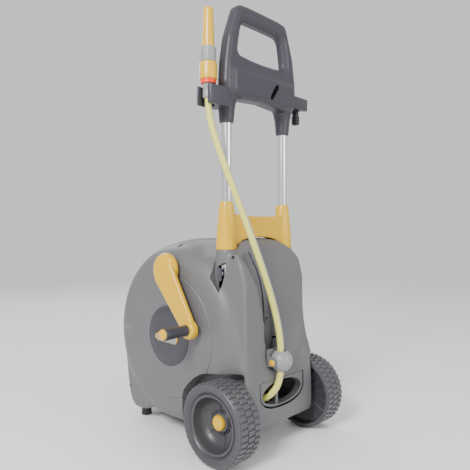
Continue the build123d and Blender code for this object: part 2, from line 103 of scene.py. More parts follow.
def cleanMesh(piece):
    startEdit(piece)
    bpy.ops.mesh.remove_doubles(threshold=0.00001)
    bpy.ops.mesh.delete_loose()
    bpy.ops.mesh.select_all(action="SELECT")
    bpy.ops.mesh.normals_make_consistent(inside=False)
    endEdit()


def addOutline(name, points, filled):
    # a circle whose points are moved onto the outline
    deselectAll()
    bpy.ops.mesh.primitive_circle_add(
        vertices=len(points), radius=0.01, fill_type="NGON" if filled else "NOTHING")
    piece = bpy.context.object
    piece.name = name
    piece.data.name = name
    for vertex, point in zip(piece.data.vertices, points):
        vertex.co = point
    return piece


def addPrism(name, outline, axis, start, end, endScale=None):
    # outline is (y, z) for axis x, (x, z) for axis y, (x, y) for axis z
    if axis == "x":
        points = [spot(start, u, v) for u, v in outline]
        push = Vector((end - start, 0, 0)) * mm
    elif axis == "y":
        points = [spot(u, start, v) for u, v in outline]
        push = Vector((0, end - start, 0)) * mm
    else:
        points = [spot(u, v, start) for u, v in outline]
        push = Vector((0, 0, end - start)) * mm
    piece = addOutline(name, points, True)
    startEdit(piece)
    bpy.ops.mesh.extrude_region_move(TRANSFORM_OT_translate={"value": push})
    if endScale:
        middle = sum(points, Vector()) / len(points) + push
        bpy.ops.transform.resize(value=(endScale, endScale, endScale), center_override=middle)
    bpy.ops.mesh.select_all(action="SELECT")
    bpy.ops.mesh.normals_make_consistent(inside=False)
    endEdit()
    return piece


def addTurned(name, profile, centre, axis, steps=96):
    # profile is (along the axis, radius) from the centre; a closed loop is spun about the axis
    cx, cy, cz = centre
    place = {
        "x": lambda a, r: spot(cx + a, cy, cz + r),
        "y": lambda a, r: spot(cx + r, cy + a, cz),
        "z": lambda a, r: spot(cx + r, cy, cz + a),
    }[axis]
    direction = {"x": (1, 0, 0), "y": (0, 1, 0), "z": (0, 0, 1)}[axis]
    piece = addOutline(name, [place(a, r) for a, r in profile], False)
    startEdit(piece)
    bpy.ops.mesh.spin(steps=steps, angle=tau, center=spot(*centre), axis=direction)
    endEdit()
    cleanMesh(piece)
    return piece


def addRod(name, radius, axis, start, end, centre, steps=48):
    profile = [(start, 0), (start, radius), (end, radius), (end, 0)]
    return addTurned(name, profile, centre, axis, steps)


def join(name, pieces):
    deselectAll()
    for piece in pieces:
        piece.select_set(True)
    bpy.context.view_layer.objects.active = pieces[0]
    bpy.ops.object.join()
    pieces[0].name = name
    return pieces[0]


def carve(piece, *cutters, operation="DIFFERENCE", solver="MANIFOLD"):
    for cutter in cutters:
        applyModifier(piece, "BOOLEAN", object=cutter, operation=operation, solver=solver)
        bpy.data.objects.remove(cutter)
    return piece


def cross(name, sidePoints, frontPoints, x0, x1, y0, y1):
    # where a side outline and a front outline meet
    form = addPrism(name, sidePoints, "x", x0, x1)
    return carve(form, addPrism("cutter", frontPoints, "y", y0, y1), operation="INTERSECT")


def softUnion(name, pieces, voxel, rounds):
    # flowing moulded form: everything melted together, then its edges eased
    form = join(name, pieces)
    applyModifier(form, "REMESH", mode="VOXEL", voxel_size=voxel * mm)
    applyModifier(form, "SMOOTH", factor=0.5, iterations=rounds)
    return form


def bevelEdges(piece, width, segments=3, angle=35):
    applyModifier(piece, "BEVEL", width=width * mm, segments=segments, limit_method="ANGLE",
                  angle_limit=radians(angle))
    return piece


def sliceAway(piece, place, normal, fill=True):
    # cuts away what lies on the side that normal points to
    startEdit(piece)
    bpy.ops.mesh.bisect(plane_co=place, plane_no=normal, use_fill=fill, clear_outer=True)
    endEdit()
    return piece


def copyPiece(piece, name):
    pick(piece)
    bpy.ops.object.duplicate()
    twin = bpy.context.object
    twin.name = name
    twin.data.name = name
    return twin


def mirrorX(piece):
    # swaps left and right about the cart's middle plane
    startEdit(piece)
    bpy.ops.transform.resize(value=(-1, 1, 1), center_override=spot(0, 0, 0))
    bpy.ops.mesh.normals_make_consistent(inside=False)
    endEdit()
    return piece


def turnPiece(piece, degrees, axis, centre):
    startEdit(piece)
    bpy.ops.transform.rotate(value=radians(degrees), orient_axis=axis, center_override=spot(*centre))
    endEdit()
    return piece


def mirrored(half):
    return half + [(-x, z) for x, z in reversed(half) if x != 0]


def rectangle(left, right, low, high):
    return [(left, low), (right, low), (right, high), (left, high)]


def finishPiece(piece, body, slotName, *nodes, angle=32):
    pick(piece)
    bpy.ops.object.shade_smooth_by_angle(angle=radians(angle))
    piece.data.materials.clear()
    piece.data.materials.append(finishes[slotName])
    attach(piece, body)
    if nodes:
        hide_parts(*nodes)
    return piece


# Camera.

cameraView = {"place": (-0.9335, -0.9652, 0.5123), "turn": -46.97, "tilt": -0.28, "lens": 38.79}


def placeCamera():
    camera = bpy.data.objects.new("camera", bpy.data.cameras.new("camera"))
    bpy.context.scene.collection.objects.link(camera)
    camera.data.lens = cameraView["lens"]
    camera.data.sensor_width = 36
    camera.location = cameraView["place"]
    camera.rotation_euler = (radians(90 + cameraView["tilt"]), 0, radians(cameraView["turn"]))
    bpy.context.scene.camera = camera


placeCamera()
print("camera placed")

# Garden hose, from the connector down through the hose eye and in at the window.

hose = {
    "diameter": 16,
    "length": 960,
    "route": [
        (-165, 38, 815), (-165, 38, 785), (-157, 25, 728), (-143, 2, 652), (-119, -21, 566),
        (-85, -40, 464), (-50, -50, 372), (-24, -56, 282), (-18, -56, 212), (-26, -57, 160),
        (-44, -44, 132), (-58, -8, 114), (-58, 60, 105), (-56, 125, 98), (-54, 190, 94.9)],
    "slackStart": (-24, -56, 262),
    "slackEnd": (-165, 38, 800),
    # the hose's lit yellow side faces this way; its far half is painted grey shade
    "keyLitFaces": (-0.9, -0.4, 0.0),
}


def layHose():
    line = bpy.data.curves.new("hoseLine", "CURVE")
    line.dimensions = "3D"
    spline = line.splines.new("NURBS")
    spline.points.add(len(hose["route"]) - 1)
    for point, place in zip(spline.points, hose["route"]):
        point.co = (*spot(*place), 1)
    spline.order_u = 3
    spline.use_endpoint_u = True
    spline.resolution_u = 14
    lineObject = bpy.data.objects.new("hoseLine", line)
    bpy.context.scene.collection.objects.link(lineObject)
    bpy.context.view_layer.update()
    bare = bpy.data.meshes.new_from_object(lineObject)
    path = [vertex.co.copy() for vertex in bare.vertices]
    line.bevel_depth = hose["diameter"] / 2 * mm
    line.bevel_resolution = 8
    line.use_fill_caps = True
    tube = bpy.data.meshes.new_from_object(lineObject)
    bpy.data.objects.remove(lineObject)
    piece = bpy.data.objects.new("gardenHose", tube)
    bpy.context.scene.collection.objects.link(piece)
    markHose(tube, path)
    return piece, path


def markHose(tube, path):
    # attributes for the hose's painted shade and its braid: around is 0 in the middle of the side
    # painted lit, towards the key lamp, and 1 opposite it on the painted shade; along is in metres
    ringSize = len(tube.vertices) // len(path)
    around = tube.attributes.new("around", "FLOAT", "POINT")
    along = tube.attributes.new("along", "FLOAT", "POINT")
    # the side painted lit faces this way, and painted shade goes on the opposite half
    litSide = Vector(hose["keyLitFaces"])
    travelled = 0
    for number, place in enumerate(path):
        before = path[max(number - 1, 0)]
        after = path[min(number + 1, len(path) - 1)]
        travelled += (place - before).length
        tangent = (after - before).normalized()
        front = (litSide - tangent * litSide.dot(tangent)).normalized()
        for index in range(number * ringSize, (number + 1) * ringSize):
            offset = tube.vertices[index].co - place
            around.data[index].value = offset.angle(front) / (tau / 2)
            along.data[index].value = travelled


gardenHose, hosePath = layHose()
print("hose laid")

# Finishes.


def srgb(hexColour):
    channels = [int(hexColour[i:i + 2], 16) / 255 for i in (1, 3, 5)]
    linear = [c / 12.92 if c <= 0.04045 else ((c + 0.055) / 1.055) ** 2.4 for c in channels]
    return (*linear, 1)


def addNode(tree, kind, settings=None, links=None):
    node = tree.nodes.new(kind)
    for key, value in (settings or {}).items():
        if isinstance(key, int) or key in node.inputs:
            node.inputs[key].default_value = value
        else:
            setattr(node, key, value)
    for key, source in (links or {}).items():
        tree.links.new(source, node.inputs[key])
    return node


def startFinish(name):
    finish = bpy.data.materials.new(name)
    finish.use_nodes = True
    tree = finish.node_tree
    shader = tree.nodes["Principled BSDF"]
    where = addNode(tree, "ShaderNodeTexCoord").outputs["Object"]
    return finish, tree, shader, where


def mixColours(tree, first, second, share):
    ramp = addNode(tree, "ShaderNodeMix", {"data_type": "RGBA"}, {0: share})
    ramp.inputs[6].default_value = srgb(first)
    ramp.inputs[7].default_value = srgb(second)
    return ramp.outputs[2]


def mouldedPlastic(name, look):
    # injection-moulded plastic: one even colour with very slight clouding, a fine spark-eroded
    # grain that softens the shine, and edges rubbed a little lighter
    finish, tree, shader, where = startFinish(name)
    cloud = addNode(tree, "ShaderNodeTexNoise", {"Scale": 1000 / look["cloudMm"], "Detail": 3.0},
                    {"Vector": where})
    base = mixColours(tree, look["colour"], look["clouded"], cloud.outputs["Fac"])
    edge = addNode(tree, "ShaderNodeNewGeometry")
    rubbed = addNode(tree, "ShaderNodeMapRange",
                     {"From Min": 0.52, "From Max": 0.62, "To Min": 0.0, "To Max": look["rubbed"]},
                     {"Value": edge.outputs["Pointiness"]})
    worn = addNode(tree, "ShaderNodeMix", {"data_type": "RGBA"}, {0: rubbed.outputs[0], 6: base})
    worn.inputs[7].default_value = srgb(look["rubbedColour"])
    tree.links.new(worn.outputs[2], shader.inputs["Base Color"])
    # the real grain is about 0.3 mm; it is drawn coarser so that it shows at all
    grain = addNode(tree, "ShaderNodeTexNoise", {"Scale": 1000 / look["grainMm"], "Detail": 2.0},
                    {"Vector": where})
    sheen = addNode(tree, "ShaderNodeMapRange",
                    {"To Min": look["roughness"] - 0.05, "To Max": look["roughness"] + 0.05},
                    {"Value": grain.outputs["Fac"]})
    tree.links.new(sheen.outputs[0], shader.inputs["Roughness"])
    bump = addNode(tree, "ShaderNodeBump", {"Strength": look["grainDepth"], "Distance": 0.0004},
                   {"Height": grain.outputs["Fac"]})
    tree.links.new(bump.outputs["Normal"], shader.inputs["Normal"])
    shader.inputs["IOR"].default_value = look["ior"]
    shader.inputs["Coat Weight"].default_value = look.get("coat", 0.0)
    shader.inputs["Coat Roughness"].default_value = 0.2
    return finish


def drawnAluminium(name):
    # clear-anodised aluminium tube: bright metal with fine lines along its length from drawing
    finish, tree, shader, where = startFinish(name)
    # drawing lines about 0.4 mm apart round the tube and drawn out 300 mm along it
    stretched = addNode(tree, "ShaderNodeMapping", {"Scale": (1.0, 1.0, 0.002)}, {"Vector": where})
    lines = addNode(tree, "ShaderNodeTexNoise", {"Scale": 1000 / 0.6, "Detail": 3.0},
                    {"Vector": stretched.outputs[0]})
    colour = mixColours(tree, "#d9dbde", "#eceded", lines.outputs["Fac"])
    tree.links.new(colour, shader.inputs["Base Color"])
    rough = addNode(tree, "ShaderNodeMapRange", {"To Min": 0.16, "To Max": 0.3},
                    {"Value": lines.outputs["Fac"]})
    tree.links.new(rough.outputs[0], shader.inputs["Roughness"])
    shader.inputs["Metallic"].default_value = 1.0
    bump = addNode(tree, "ShaderNodeBump", {"Strength": 0.15, "Distance": 0.0001},
                   {"Height": lines.outputs["Fac"]})
    tree.links.new(bump.outputs["Normal"], shader.inputs["Normal"])
    return finish


def zincPlatedSteel(name):
    # turned steel with a zinc coat: cool grey metal with cloudy spangle and a soft shine
    finish, tree, shader, where = startFinish(name)
    spangle = addNode(tree, "ShaderNodeTexVoronoi", {"Scale": 1000 / 4.0}, {"Vector": where})
    colour = mixColours(tree, "#9a9da1", "#b9bcc0", spangle.outputs["Distance"])
    tree.links.new(colour, shader.inputs["Base Color"])
    rough = addNode(tree, "ShaderNodeMapRange", {"To Min": 0.3, "To Max": 0.45},
                    {"Value": spangle.outputs["Distance"]})
    tree.links.new(rough.outputs[0], shader.inputs["Roughness"])
    shader.inputs["Metallic"].default_value = 1.0
    return finish


def hoseWithPaintedShade(name):
    # soft PVC hose: pale yellow-green on the side towards the key lamp and a painted greyish shade
    # on the half turned away from it, a faint braid under the clear skin, and a smooth extruded shine
    finish, tree, shader, where = startFinish(name)
    around = addNode(tree, "ShaderNodeAttribute", {"attribute_name": "around"}).outputs["Fac"]
    along = addNode(tree, "ShaderNodeAttribute", {"attribute_name": "along"}).outputs["Fac"]
    # painted shade: greyish colour on the half of the hose turned away from the key lamp
    paintedShade = addNode(tree, "ShaderNodeMapRange",
                   {"From Min": 0.36, "From Max": 0.46, "interpolation_type": "SMOOTHSTEP"},
                   {"Value": around})
    colour = mixColours(tree, "#d6d257", "#a9ab98", paintedShade.outputs[0])
    # braid threads cross every 5 mm along the hose
    slope = addNode(tree, "ShaderNodeMath", {"operation": "MULTIPLY", 1: 1000 / 5 * tau}, {0: along})
    twist = addNode(tree, "ShaderNodeMath", {"operation": "MULTIPLY", 1: 6 * tau}, {0: around})
    waves = []
    for operation in ("ADD", "SUBTRACT"):
        phase = addNode(tree, "ShaderNodeMath", {"operation": operation},
                        {0: slope.outputs[0], 1: twist.outputs[0]})
        waves.append(addNode(tree, "ShaderNodeMath", {"operation": "SINE"}, {0: phase.outputs[0]}))
    thread = addNode(tree, "ShaderNodeMath", {"operation": "MAXIMUM"},
                     {0: waves[0].outputs[0], 1: waves[1].outputs[0]})
    threadShare = addNode(tree, "ShaderNodeMapRange",
                          {"From Min": 0.7, "From Max": 1.0, "To Max": 0.25},
                          {"Value": thread.outputs[0]})
    braided = addNode(tree, "ShaderNodeMix", {"data_type": "RGBA"},
                      {0: threadShare.outputs[0], 6: colour})
    braided.inputs[7].default_value = srgb("#f1f2d6")
    tree.links.new(braided.outputs[2], shader.inputs["Base Color"])
    film = addNode(tree, "ShaderNodeTexNoise", {"Scale": 1000 / 3.0}, {"Vector": where})
    rough = addNode(tree, "ShaderNodeMapRange", {"To Min": 0.28, "To Max": 0.42},
                    {"Value": film.outputs["Fac"]})
    tree.links.new(rough.outputs[0], shader.inputs["Roughness"])
    bump = addNode(tree, "ShaderNodeBump", {"Strength": 0.2, "Distance": 0.0003},
                   {"Height": thread.outputs[0]})
    tree.links.new(bump.outputs["Normal"], shader.inputs["Normal"])
    shader.inputs["IOR"].default_value = 1.53
    shader.inputs["Subsurface Weight"].default_value = 0.15
    shader.inputs["Subsurface Radius"].default_value = (0.004, 0.004, 0.002)
    return finish


plasticLooks = {
    # polypropylene, mid grey with a fine moulded grain: broad soft highlights
    "grey_case": {"colour": "#606062", "clouded": "#666668", "rubbedColour": "#858587",
                  "rubbed": 0.35, "roughness": 0.42, "grainMm": 1.6, "grainDepth": 0.12,
                  "cloudMm": 70, "ior": 1.49},
    # glass-filled polypropylene, blue-tinged charcoal: satin
    "charcoal": {"colour": "#35343b", "clouded": "#3a3941", "rubbedColour": "#5b5963",
                 "rubbed": 0.3, "roughness": 0.4, "grainMm": 1.2, "grainDepth": 0.14,
                 "cloudMm": 40, "ior": 1.49},
    # ABS, signal yellow with a smooth tool finish: clear highlights
    "yellow": {"colour": "#d8a800", "clouded": "#dcae00", "rubbedColour": "#eac020",
               "rubbed": 0.3, "roughness": 0.3, "grainMm": 2.5, "grainDepth": 0.04,
               "cloudMm": 50, "ior": 1.53, "coat": 0.15},
    # polypropylene, black: satin
    "black_plastic": {"colour": "#191a1c", "clouded": "#1f2022", "rubbedColour": "#3c3d40",
                      "rubbed": 0.25, "roughness": 0.45, "grainMm": 1.4, "grainDepth": 0.1,
                      "cloudMm": 30, "ior": 1.49},
    # high-density polyethylene, dark grey: slightly waxy
    "wheel_plastic": {"colour": "#38383b", "clouded": "#3e3e41", "rubbedColour": "#77777b",
                      "rubbed": 0.4, "roughness": 0.38, "grainMm": 1.8, "grainDepth": 0.12,
                      "cloudMm": 35, "ior": 1.54},
    # ABS, light grey: satin
    "light_grey": {"colour": "#88888a", "clouded": "#909092", "rubbedColour": "#ababab",
                   "rubbed": 0.3, "roughness": 0.36, "grainMm": 1.3, "grainDepth": 0.08,
                   "cloudMm": 20, "ior": 1.53},
    # acetal, natural white: waxy and smooth
    "white_acetal": {"colour": "#dcdad2", "clouded": "#e4e2db", "rubbedColour": "#efeee9",
                     "rubbed": 0.2, "roughness": 0.3, "grainMm": 2.0, "grainDepth": 0.04,
                     "cloudMm": 25, "ior": 1.48},
    # acetal, orange-red: smooth
    "orange": {"colour": "#f03a10", "clouded": "#f2441a", "rubbedColour": "#f4704a",
               "rubbed": 0.25, "roughness": 0.3, "grainMm": 2.0, "grainDepth": 0.04,
               "cloudMm": 15, "ior": 1.48},
    # nitrile rubber: dull black
    "seal_rubber": {"colour": "#141414", "clouded": "#1a1a1a", "rubbedColour": "#2c2c2c",
                    "rubbed": 0.1, "roughness": 0.6, "grainMm": 0.8, "grainDepth": 0.1,
                    "cloudMm": 10, "ior": 1.52},
}
finishes = {name: mouldedPlastic(name, look) for name, look in plasticLooks.items()}
finishes["aluminium"] = drawnAluminium("aluminium")
finishes["steel"] = zincPlatedSteel("steel")
finishes["hose_pvc"] = hoseWithPaintedShade("hose_pvc")

slotOf = {row["node"]: row["material_slot"] for row in frame["record"]["subparts"]}
for nodeName, node in frame["nodes"].items():
    node.data.materials.clear()
    node.data.materials.append(finishes[slotOf[nodeName]])
# the latches are charcoal instead of their own white: a dark part standing in as painted shade in their
# slots
for nodeName in ("left_latch", "right_latch"):
    frame["nodes"][nodeName].data.materials[0] = finishes["charcoal"]
print("finishes made")

# Case: two thin shells cut from one flowing form.

case = {
    "voxel": 4.0,
    "flow": 40,
    "easing": 7,
    "wall": 3.0,
    "seamGap": 0.3,
    "floor": 45,
    # side outlines are (y, z) and front outlines (x, z)
    # half of the drum housing's section: along the axis and radius
    "crown": [(0, 245), (30, 244.2), (60, 241), (95, 233), (125, 221), (137, 207), (143, 194), (145, 180),
              (145, 0)],
    "blockSide": [(-45, 58), (-49, 80), (-46, 172), (-22, 235), (-20, 400), (-6, 470), (24, 499),
                  (175, 499), (240, 400), (240, 80), (203, 45), (60, 50)],
    "blockFront": [(0, 40), (126, 40), (126, 410), (122, 450), (70, 494), (0, 501)],
    "pillarSide": [(-44, 60), (-47, 90), (-45, 172), (-41, 235), (-38, 390), (-24, 440), (2, 472),
                   (40, 472), (40, 60)],
    "pillarFront": [(-126, 60), (-126, 430), (-119, 462), (-108, 464), (-101, 438), (-89, 413),
                    (-78, 380), (-64, 330), (-57, 298), (-57, 262), (-51, 246), (-55, 221),
                    (-48, 200), (-34, 184), (-34, 60)],
    "grooveFront": [(-106, 520), (-106, 460), (-101, 438), (-89, 413), (-78, 380), (-64, 330), (-57, 298),
                    (-57, 200), (2, 200), (2, 240), (-4, 300), (-18, 370), (-36, 424), (-52, 453),
                    (-76, 484), (-76, 520)],
    "grooveFloorY": -6,
    "fenderX": (90, 155),
    "fenderSide": [(-42, 186), (-42, 205), (-30, 243), (-20, 292), (-11, 345), (60, 400), (110, 380),
                   (130, 253), (148, 150), (150, 119), (118, 119)],
    "fenderFront": [(95, 110), (127, 110), (127, 186), (133, 200), (133, 240), (130, 300), (124, 400),
                    (95, 400)],
    "noseSide": [(290, 45), (345, 25), (384, 25), (400, 45), (414, 110), (424, 200), (330, 240),
                 (250, 120)],
    "noseFront": [(0, 20), (118, 20), (124, 60), (124, 260), (0, 260)],
    "postRadius": 25,
    "postHeights": (380, 474),
    "well": [(-37, 20), (-37, 192), (-34, 197), (23, 190), (70, 183), (89, 177), (108, 166), (130, 147),
             (146, 130), (152, 110), (152, 20)],
    "wellX": (101, 200),
    "eye": (-18, -56, 212),
    "eyeSeat": 30,
    "latchSlot": [(22, 443), (30, 440), (40, 434), (50, 435), (58, 444), (62, 440), (63, 410), (58, 385),
                  (52, 372), (46, 368), (40, 370), (34, 382), (27, 404), (22, 425)],
    "latchSlotX": (119, 136),
    "latchHole": (25.5, 50.5, 383, 438),
    "latchHoleX": (112, 124),
    "screwWell": 4.6,
    "screwWellX": (-160, -40),
    "screws": [(20, 64), (298, 60), (396, 84), (425, 233), (380, 400), (197, 479), (4, 455)],
    "frontScrew": (-13, 305),
    "frontScrewWell": 3.0,
    # dark parting line down the groove, beside the pillar
    "crease": [(-76, 466), (-66, 450), (-50, 426), (-36, 396), (-28, 366), (-24, 340), (-22, 310),
               (-22, 240)],
    "creaseWidth": 5,
    "creaseFloorY": 14,
    # shallow ring pressed into each side face: radii, and how deep
    "ringStep": (153, 186),
    "ringDepth": 1.4,
    # window: half width, lower edge, upper edge, and where its round corners start
    "window": (81, 103, 167, 140),
    "windowRoundness": 2.4,
    "windowGap": 4.0,
}


def bothWays(half):
    return [(-a, r) for a, r in half[:0:-1]] + list(half)


def buildCaseForm():
    section = bothWays([(a, r) for a, r in case["crown"]])
    housing = addTurned("housing", section, places["reel"], "x", 128)
    sliceAway(housing, spot(0, 0, case["floor"]), (0, 0, -1))
    block = cross("block", case["blockSide"], mirrored(case["blockFront"]), -130, 130, -70, 260)
    pillar = cross("pillar", case["pillarSide"], case["pillarFront"], -128, -15, -60, 45)
    fender = cross("fender", case["fenderSide"], case["fenderFront"], *case["fenderX"], -80, 170)
    otherFender = mirrorX(copyPiece(fender, "otherFender"))
    nose = cross("nose", case["noseSide"], mirrored(case["noseFront"]), -130, 130, 240, 440)
    low, high = case["postHeights"]
    tubeX, tubeY = places["tube"]
    posts = [addRod("post", case["postRadius"], "z", 0, high - low, (side * tubeX, tubeY, low))
             for side in (-1, 1)]
    # the broad forms flow into each other first; pillar, groove and tube outlets stay crisper
    parts = [housing, block, fender, otherFender, nose]
    broad = softUnion("broadForm", parts, case["voxel"], case["flow"])
    carve(broad, addPrism("groove", case["grooveFront"], "y", -80, case["grooveFloorY"]))
    return softUnion("caseForm", [broad, pillar, *posts], case["voxel"], case["easing"])


def ringCutter(side):
    inner, outer = case["ringStep"]
    face = case["crown"][-1][0]
    deep = case["ringDepth"]
    profile = [(side * (face + 4), inner - 4), (side * (face - deep), inner + deep),
               (side * (face - deep), outer - deep), (side * (face + 4), outer + 4)]
    return addTurned("ringCutter", profile, places["reel"], "x", 128)


def latchCutter(side):
    start, end = case["latchSlotX"]
    return addPrism("latchCutter", case["latchSlot"], "x", side * start, side * end, endScale=1.1)


def cutCase(form):
    cutters = []
    for side in (-1, 1):
        start, end = case["wellX"]
        cutters.append(addPrism("well", case["well"], "x", side * start, side * end))
        cutters.append(ringCutter(side))
        cutters.append(latchCutter(side))
    for y, z in case["screws"]:
        cutters.append(addRod("screwWell", case["screwWell"], "x", *case["screwWellX"], (0, y, z), 24))
    x, z = case["frontScrew"]
    cutters.append(addRod("frontScrew", case["frontScrewWell"], "y", -60, 20, (x, 0, z), 24))
    crease = case["crease"]
    half = case["creaseWidth"] / 2
    outline = [(a - half, b) for a, b in crease] + [(a + half, b) for a, b in reversed(crease)]
    cutters.append(addPrism("crease", outline, "y", -60, case["creaseFloorY"]))
    deselectAll()
    bpy.ops.mesh.primitive_uv_sphere_add(segments=48, ring_count=24, radius=case["eyeSeat"] * mm,
                                         location=spot(*case["eye"]))
    cutters.append(bpy.context.object)
    return carve(form, *cutters)


def outletOutline(widen):
    # flat top, sagging lower edge with round corners
    half, low, high, middle = case["window"]
    half, low, high = half + widen, low - widen, high + widen * 0.3
    power = 2 / case["windowRoundness"]
    outline = [(half, high), (half, middle)]
    for step in range(1, 12):
        angle = radians(90 * step / 12)
        outline.append((half * cos(angle) ** power, middle - (middle - low) * sin(angle) ** power))
    outline.append((0, low))
    return [(-x, z) for x, z in outline[:-1]] + outline[::-1]


def buildCase():
    form = cutCase(buildCaseForm())
    names = {"leftShell": (-1, "left_shell"), "rightShell": (1, "right_shell")}
    for name, (side, node) in names.items():
        shell = copyPiece(form, name)
        sliceAway(shell, spot(side * case["seamGap"], 0, 0), (-side, 0, 0), fill=False)
        applyModifier(shell, "SOLIDIFY", thickness=case["wall"] * mm, offset=-1.0, use_rim=True)
        window = outletOutline(case["windowGap"])
        carve(shell, addPrism("window", window, "y", -80, 12), solver="EXACT")
        # the latch reaches in through its slot's floor to the tube
        start, end = case["latchHoleX"]
        hole = addPrism("latchHole", rectangle(*case["latchHole"]), "x", side * start, side * end)
        carve(shell, hole, solver="EXACT")
        finishPiece(shell, "case", "grey_case", node, angle=38)
    bpy.data.objects.remove(form)


buildCase()
print("case made")

# Window for the hose, with its light bar and rollers.

outlet = {
    "front": -46,
    "back": -40,
    "oval": (74, 28, 134.5),
    "lip": 3,
    "lipY": (-42, -28),
    "bar": (-22, -14, 104, 164),
    "barY": (-43, -33),
    "seatX": (-83, -14),
    "seatY": (-42, -18),
    "seatHeights": [(92.5, 99), (164, 168.5)],
    "rollers": {"left": -77, "right": -34},
    "rollerY": -27,
    "rollerRadius": 5,
    "rollerHeights": (99.3, 163.7),
    "journal": 2,
}


def ellipse(halfWidth, halfHeight, centreZ, count=48):
    return [(halfWidth * cos(tau * i / count), centreZ + halfHeight * sin(tau * i / count))
            for i in range(count)]


def buildOutlet():
    halfWidth, halfHeight, centreZ = outlet["oval"]
    plate = addPrism("outletPlate", outletOutline(0), "y", outlet["front"], outlet["back"])
    oval = ellipse(halfWidth, halfHeight, centreZ)
    carve(plate, addPrism("oval", oval, "y", -60, 0), solver="EXACT")
    bevelEdges(plate, 1.2, 3, 50)
    # lip round the oval, turned into the case
    wide = ellipse(halfWidth + outlet["lip"], halfHeight + outlet["lip"], centreZ)
    lip = addPrism("lip", wide, "y", *outlet["lipY"])
    carve(lip, addPrism("oval", oval, "y", -60, 0), solver="EXACT")
    left, right, low, high = outlet["bar"]
    bar = addPrism("bar", rectangle(left, right, low, high), "y", *outlet["barY"])
    bevelEdges(bar, 1.0, 2)
    seats = []
    for low, high in outlet["seatHeights"]:
        seat = addPrism("seat", rectangle(*outlet["seatX"], low, high), "y", *outlet["seatY"])
        seats.append(bevelEdges(seat, 0.8, 2))
    finishPiece(join("outletPlate", [plate, lip, bar, *seats]), "case", "grey_case", "outlet_plate")
    for side, x in outlet["rollers"].items():
        low, high = outlet["rollerHeights"]
        radius, journal, tall = outlet["rollerRadius"], outlet["journal"], high - low
        profile = [(-4.5, 0), (-4.5, journal), (0, journal), (0, radius - 0.8), (0.8, radius),
                   (tall - 0.8, radius), (tall, radius - 0.8), (tall, journal),
                   (tall + 3, journal), (tall + 3, 0)]
        roller = addTurned(side + "Roller", profile, (x, outlet["rollerY"], low), "z", 32)
        finishPiece(roller, side + "_roller", "black_plastic", side + "_outlet_roller")


buildOutlet()
print("hose outlet made")

# Hose eye: a ball in two halves, with a waisted bore.

eye = {
    "centre": (-18, -56, 212),
    "radius": 27,
    "flat": 26,
    "seam": 13,
    "seamGap": 0.35,
    "bore": 10,
    "mouth": 15,
    "pivot": 4,
    "capStart": 33.5,
    "capEnd": 37,
    "capRadius": 7.5,
}


def buildEye():
    cx, cy, cz = eye["centre"]
    deselectAll()
    bpy.ops.mesh.primitive_uv_sphere_add(segments=96, ring_count=48, radius=eye["radius"] * mm,
                                         location=spot(cx, cy, cz))
    ball = bpy.context.object
    bpy.ops.object.transform_apply(location=True)
    bore, mouth, reach = eye["bore"], eye["mouth"], eye["radius"]
    # a waisted bore that flares at both mouths
    flare = [(-reach - 4, 0), (-reach - 4, mouth + 3)]
    for step in range(-6, 7):
        share = step / 6
        flare.append((share * reach, bore + (mouth - bore) * share * share))
    flare += [(reach + 4, mouth + 3), (reach + 4, 0)]
    carve(ball, addTurned("bore", flare, (cx, cy, cz), "z", 64))
    seam, gap, flat, pivot = eye["seam"], eye["seamGap"], eye["flat"], eye["pivot"]
    halves = {
        "eyeLeftHalf": ("eye_left_half", seam - gap, 1, -flat, -34),
        "eyeRightHalf": ("eye_right_half", seam + gap, -1, flat, 34),
    }
    for name, (node, cut, facing, end, pivotEnd) in halves.items():
        half = copyPiece(ball, name)
        sliceAway(half, spot(cx + cut, cy, cz), (facing, 0, 0))
        sliceAway(half, spot(cx + end, cy, cz), (-facing, 0, 0))
        bevelEdges(half, 0.7, 2, 40)
        stub = addRod("stub", pivot, "x", end + facing, pivotEnd, (cx, cy, cz), 24)
        finishPiece(join(name, [half, stub]), "hose_eye", "light_grey", node)
    bpy.data.objects.remove(ball)
    caps = []
    for side in (-1, 1):
        start, end, radius = side * eye["capStart"], side * eye["capEnd"], eye["capRadius"]
        profile = [(start, 0), (start, radius - 0.6), (start + side * 0.8, radius),
                   (end - side * 1.6, radius), (end - side * 0.6, radius - 0.9),
                   (end, radius - 2.6), (end, 0)]
        caps.append(addTurned("cap", profile, (cx, cy, cz), "x", 40))
    finishPiece(join("eyeCaps", caps), "hose_eye", "yellow", "eye_caps")


buildEye()
print("hose eye made")

# Crank.

crank = {
    "axis": (200, 419.67),
    "knobAt": (100, 284),
    # along x from the case outwards, and radius, of the domed hub
    "hub": [(-149, 0), (-149, 40.5), (-151, 42.5), (-159, 42), (-165, 39), (-170, 33), (-173.5, 24),
            (-175, 12), (-175.4, 0)],
    "end": [(-158, 0), (-158, 21), (-159.5, 22.5), (-172, 22.5), (-176, 20.5), (-178.4, 15), (-179, 0)],
    "web": (38, 21),
    "webX": (-173.5, -158.5),
    "webEdge": 6.5,
    "voxel": 1.5,
    "easing": 12,
    "knobSeat": (13.4, -173.6),
    "knob": [(-174, 4.3), (-174, 13), (-180, 13), (-183, 12.6), (-195, 12.7), (-212, 13),
             (-232, 13.8), (-242, 14.4), (-244.6, 13.6), (-245, 12.6), (-245, 4.3)],
    "cap": [(-244.8, 0), (-244.8, 12.3), (-246, 12.5), (-248.4, 11.8), (-249.6, 9.6), (-250, 6),
            (-250, 0)],
}


